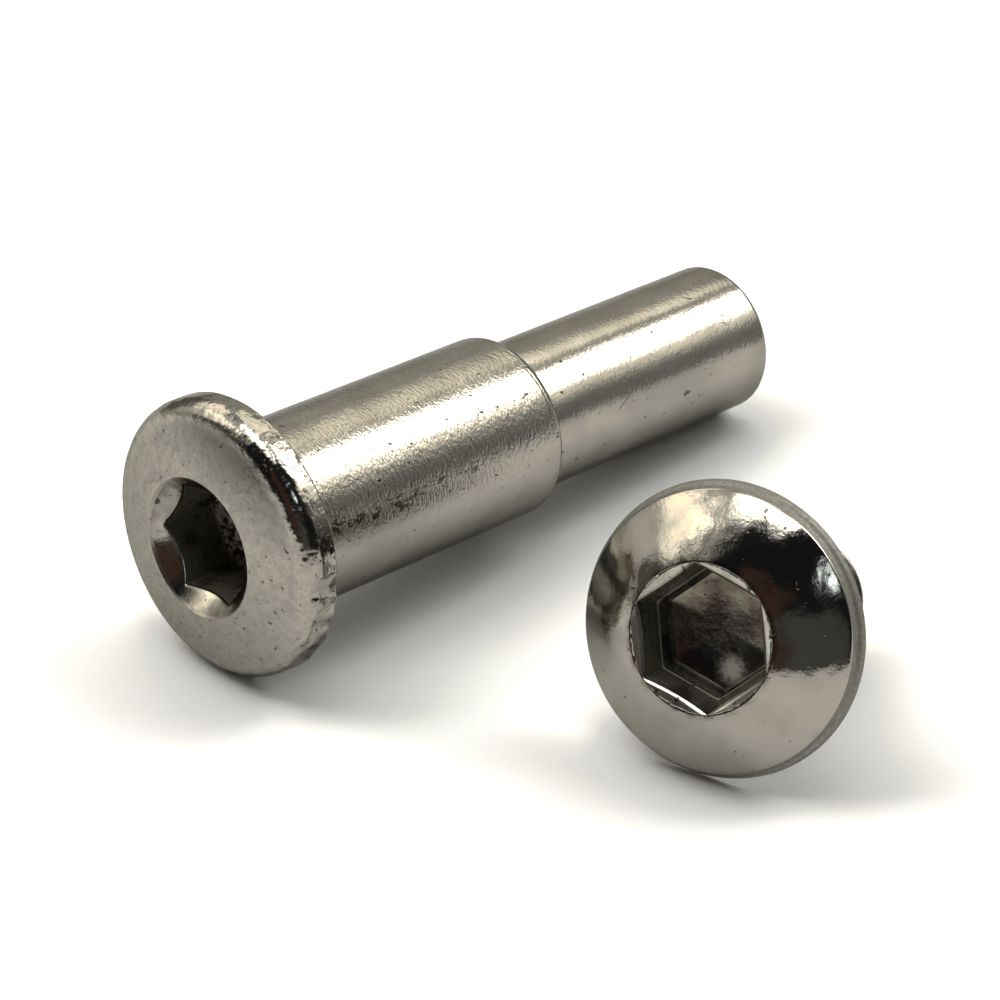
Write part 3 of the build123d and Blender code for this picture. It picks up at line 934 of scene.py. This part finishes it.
# %% Shank thread and bore thread
SHANK_FROM = 0.45       # the shank begins inside the neck, this far from the head's underside
SLEEVE_FROM = 0.14      # the sleeve begins this far inside the barrel's end
CREST = THREAD_DIA / 2 - 0.004
shank = thread(
    "screw_shank", SCREW_PLACE @ Matrix.Translation((0, 0, SHANK_FROM * MM)),
    metal=thread_metal, turns=10, pitch=THREAD_PITCH, length=SCREW_LENGTH - SHANK_FROM,
    outer_radius=CREST, plain_radius=CREST, starts_at=0.25, runs_out_over=0.9,
    end_cone=THREAD_DIA / 2 - 2 * TIP_CHAMFER)
from_the_end = (Matrix.Translation((0, 0, BARREL_LENGTH * MM)) @ Matrix.Rotation(math.pi, 4, "X")
                @ Matrix.Translation((0, 0, SLEEVE_FROM * MM)))
sleeve = thread(
    "barrel_bore_thread", BARREL_PLACE @ from_the_end, metal=bore_metal, turns=21,
    closing_rows=3, pitch=THREAD_PITCH, length=BORE_DEPTH - 0.2, outer_radius=THREAD_DIA / 2,
    groove_depth=THREAD_DIA / 2 - BORE_DIA / 2, plain_radius=BORE_DIA / 2, starts_at=-2.0,
    stops_before_end=1.5, runs_out_over=1.5, mouth_cone=BORE_MOUTH_DIA / 2 - SLEEVE_FROM,
    closing_radius=SLEEVE_BORE + 0.06)

# %% [markdown]
# ## The table
# The pair lies on a sheet of matt white paper. It is part of the picture and not of the object.

# %% Table
table = bpy.data.meshes.new("table")
half = 500 * MM
table.from_pydata([(-half, -half, 0), (half, -half, 0), (half, half, 0), (-half, half, 0)], [],
                  [(0, 1, 2, 3)])
table_top = into_scene("table_top", table)
paper = bpy.data.materials.new("white_paper")
paper.use_nodes = True
sheet = paper.node_tree.nodes["Principled BSDF"]
sheet.inputs["Base Color"].default_value = (0.80, 0.80, 0.80, 1)
sheet.inputs["Roughness"].default_value = 0.9
table.materials.append(paper)
print("table", table_top.dimensions[:])

# %% [markdown]
# ## The room that the metal mirrors
# Metal has little colour of its own to hide behind: it shows the room. The parts lie under
# a white ceiling, with a pale lit wall on one side, windows on the other and the dark room in
# front. Real cards and lamps could stand round the table, but a sky is easier to place: each
# patch is a soft rectangle given by its direction from the parts, in degrees around from +X and
# up from the table, and later patches lie over earlier ones. A little noise keeps their edges
# from being ruled.

# %% Sky of patches
world = bpy.data.worlds.new("room")
bpy.context.scene.world = world
world.use_nodes = True
sky = world.node_tree
ray = node(sky, "ShaderNodeTexCoord").outputs["Generated"]
ray_parts = node(sky, "ShaderNodeSeparateXYZ", {0: ray})
waver = node(sky, "ShaderNodeTexNoise", {"Vector": ray, "Scale": 3.5, "Detail": 3.0})
waver_parts = node(sky, "ShaderNodeSeparateXYZ", {0: waver.outputs["Color"]})
azimuth = calc(sky, "ADD",
               calc(sky, "DEGREES", calc(sky, "ARCTAN2", ray_parts.outputs[1], ray_parts.outputs[0])),
               between(sky, waver_parts.outputs[0], 0.3, 0.7, -7, 7, soft=False))
height = calc(sky, "ADD", calc(sky, "DEGREES", calc(sky, "ARCSINE", ray_parts.outputs[2])),
              between(sky, waver_parts.outputs[1], 0.3, 0.7, -4, 4, soft=False))

PATCHES = (  # name, azimuth from, to, height from, to, softness, colour
    ("ceiling", -200, 200, 76, 120, 4, (4.0, 4.0, 4.0)),
    ("ceiling_by_the_wall", 30, 168, 64, 95, 4, (4.0, 4.0, 3.95)),
    ("pale_wall", 95, 152, 0, 62, 8, (1.2, 1.17, 1.08)),
    ("wall_foot", 95, 152, -6, 13, 4, (0.80, 0.78, 0.72)),
    ("wall_lamp_glow", 96, 138, 30, 49, 5, (2.75, 2.68, 2.45)),
    ("wall_lamp", 116, 144, 44, 58, 4, (3.4, 3.3, 3.15)),
    ("wall_shade_low", 131, 162, -6, 25, 3, (0.20, 0.19, 0.16)),
    ("wall_shade_high", 140, 162, 20, 42, 3, (0.20, 0.19, 0.16)),
    ("streak", 54, 92, 26, 50, 6, (2.6, 2.5, 2.3)),
    ("far_low_shade", 58, 95, -5, 18, 6, (0.30, 0.29, 0.27)),
    ("far_wall", 30, 56, -8, 28, 4, (0.93, 0.91, 0.84)),
    ("cream_panel", 13, 42, 32, 66, 4, (2.45, 2.38, 2.14)),
    ("between_panels", -4, 13, 36, 62, 4, (0.9, 0.87, 0.8)),
    ("bright_fade", -54, -24, 20, 46, 8, (2.2, 2.14, 1.98)),
    ("bright_panel", -36, -2, 35, 66, 5, (8.0, 8.0, 7.8)),
    ("dark_room", 156, 308, -6, 74, 4, (0.022, 0.022, 0.026)),
    ("grey_post", 296, 312, 4, 34, 5, (0.26, 0.25, 0.24)),
    ("sleeve", 188, 222, -4, 46, 4, (0.11, 0.062, 0.048)),
    ("cupboard", 222, 256, -4, 28, 3, (0.14, 0.14, 0.13)),
    ("small_window", 250, 262, 40, 51, 2, (3.0, 3.3, 3.6)),
)
SKY_GREY = (0.46, 0.46, 0.44)
SKY_STRENGTH = 0.64


def side(value, start, end, soft):
    """1 between two directions in degrees, falling to 0 over the softness. They wrap round."""
    off = calc(sky, "WRAP", calc(sky, "SUBTRACT", value, (start + end) / 2), 180, -180)
    half = (end - start) / 2
    return between(sky, calc(sky, "ABSOLUTE", off), half - soft, half + soft, 1.0, 0.0)


colour = (*SKY_GREY, 1.0)
for name, left, right, low, high, soft, light in PATCHES:
    share = calc(sky, "MULTIPLY", side(azimuth, left, right, soft), side(height, low, high, soft))
    colour = tint(sky, share, colour, (*light, 1.0))
wire(sky, colour, sky.nodes["Background"].inputs["Color"])
sky.nodes["Background"].inputs["Strength"].default_value = SKY_STRENGTH
print("sky:", len(PATCHES), "patches,", len(sky.nodes), "nodes")

# %% [markdown]
# ## The soft shadow
# The sky alone gives nearly even light. One large lamp, up and behind on the left, draws the
# shadows to the right and forward. It isn't mirrored in the metal, since the sky already holds
# what the metal shows.

# %% Lamp
LAMP_AT = Vector((-90, 130, 220))
LAMP_SIDE = 130
LAMP_POWER = 0.20       # watts: the whole scene is a few centimetres wide
lamp = bpy.data.lights.new("key_panel", "AREA")
lamp.shape, lamp.energy = "RECTANGLE", LAMP_POWER
lamp.size = lamp.size_y = LAMP_SIDE * MM
key_light = into_scene("key_panel", lamp)
key_light.location = LAMP_AT * MM
key_light.rotation_euler = (-LAMP_AT).to_track_quat("-Z", "Y").to_euler()
key_light.visible_glossy = False
print("lamp:", key_light.name, round(lamp.energy, 3), "W")

# %% [markdown]
# ## The camera
# The pair is seen from the heads' side, across the barrel at 45 degrees and 32 degrees down. The
# long lens, 17 cm away, keeps the perspective mild.

# %% Camera
CAMERA_AT = (-103.99, -95.02, 95.65)
CAMERA_YAW = 44.84      # degrees from +X towards +Y
CAMERA_DIP = 32.44
LENS, SENSOR = 128.0, 36.0
camera = into_scene("camera", bpy.data.cameras.new("camera"))
yaw, dip = math.radians(CAMERA_YAW), math.radians(CAMERA_DIP)
look = Vector((math.cos(yaw) * math.cos(dip), math.sin(yaw) * math.cos(dip), -math.sin(dip)))
camera.location = Vector(CAMERA_AT) * MM
camera.rotation_euler = look.to_track_quat("-Z", "Y").to_euler()
camera.data.lens, camera.data.sensor_width = LENS, SENSOR
camera.data.clip_start, camera.data.clip_end = 0.01, 10
bpy.context.scene.camera = camera
print("camera looks along", [round(v, 3) for v in look])

# %% [markdown]
# ## Contrast
# A curve on the whole view leaves the darks alone and lifts the brighter half towards white, so
# the paper turns clean white. Brighter lamps would also wash out the dark reflections.

# %% Tone curve
DARKS_END = 0.30, 0.30  # scene value, shown value
BRIGHTS = 0.58, 0.70
WHITE = 0.69, 1.0
view = bpy.context.scene.view_settings
view.view_transform = "Standard"
view.use_curve_mapping = True
tone_curve = view.curve_mapping.curves[3]
for knee in (DARKS_END, BRIGHTS):
    tone_curve.points.new(*knee)
tone_curve.points[-1].location = WHITE
for point in tone_curve.points:
    point.handle_type = "VECTOR"
view.curve_mapping.update()
print("tone curve:", [[round(v, 2) for v in point.location] for point in tone_curve.points])

# %% [markdown]
# ## Over to the frame
# Nothing here moves by itself, so all four pieces ride on the one body, root. The two skins
# replace the two CAD nodes, and the threads only add to them.

# %% Hand over to the frame
for piece, stands_for in ((barrel, "barrel"), (screw_head, "screw"), (shank, None), (sleeve, None)):
    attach(piece, "root")
    if stands_for:
        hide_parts(stands_for)
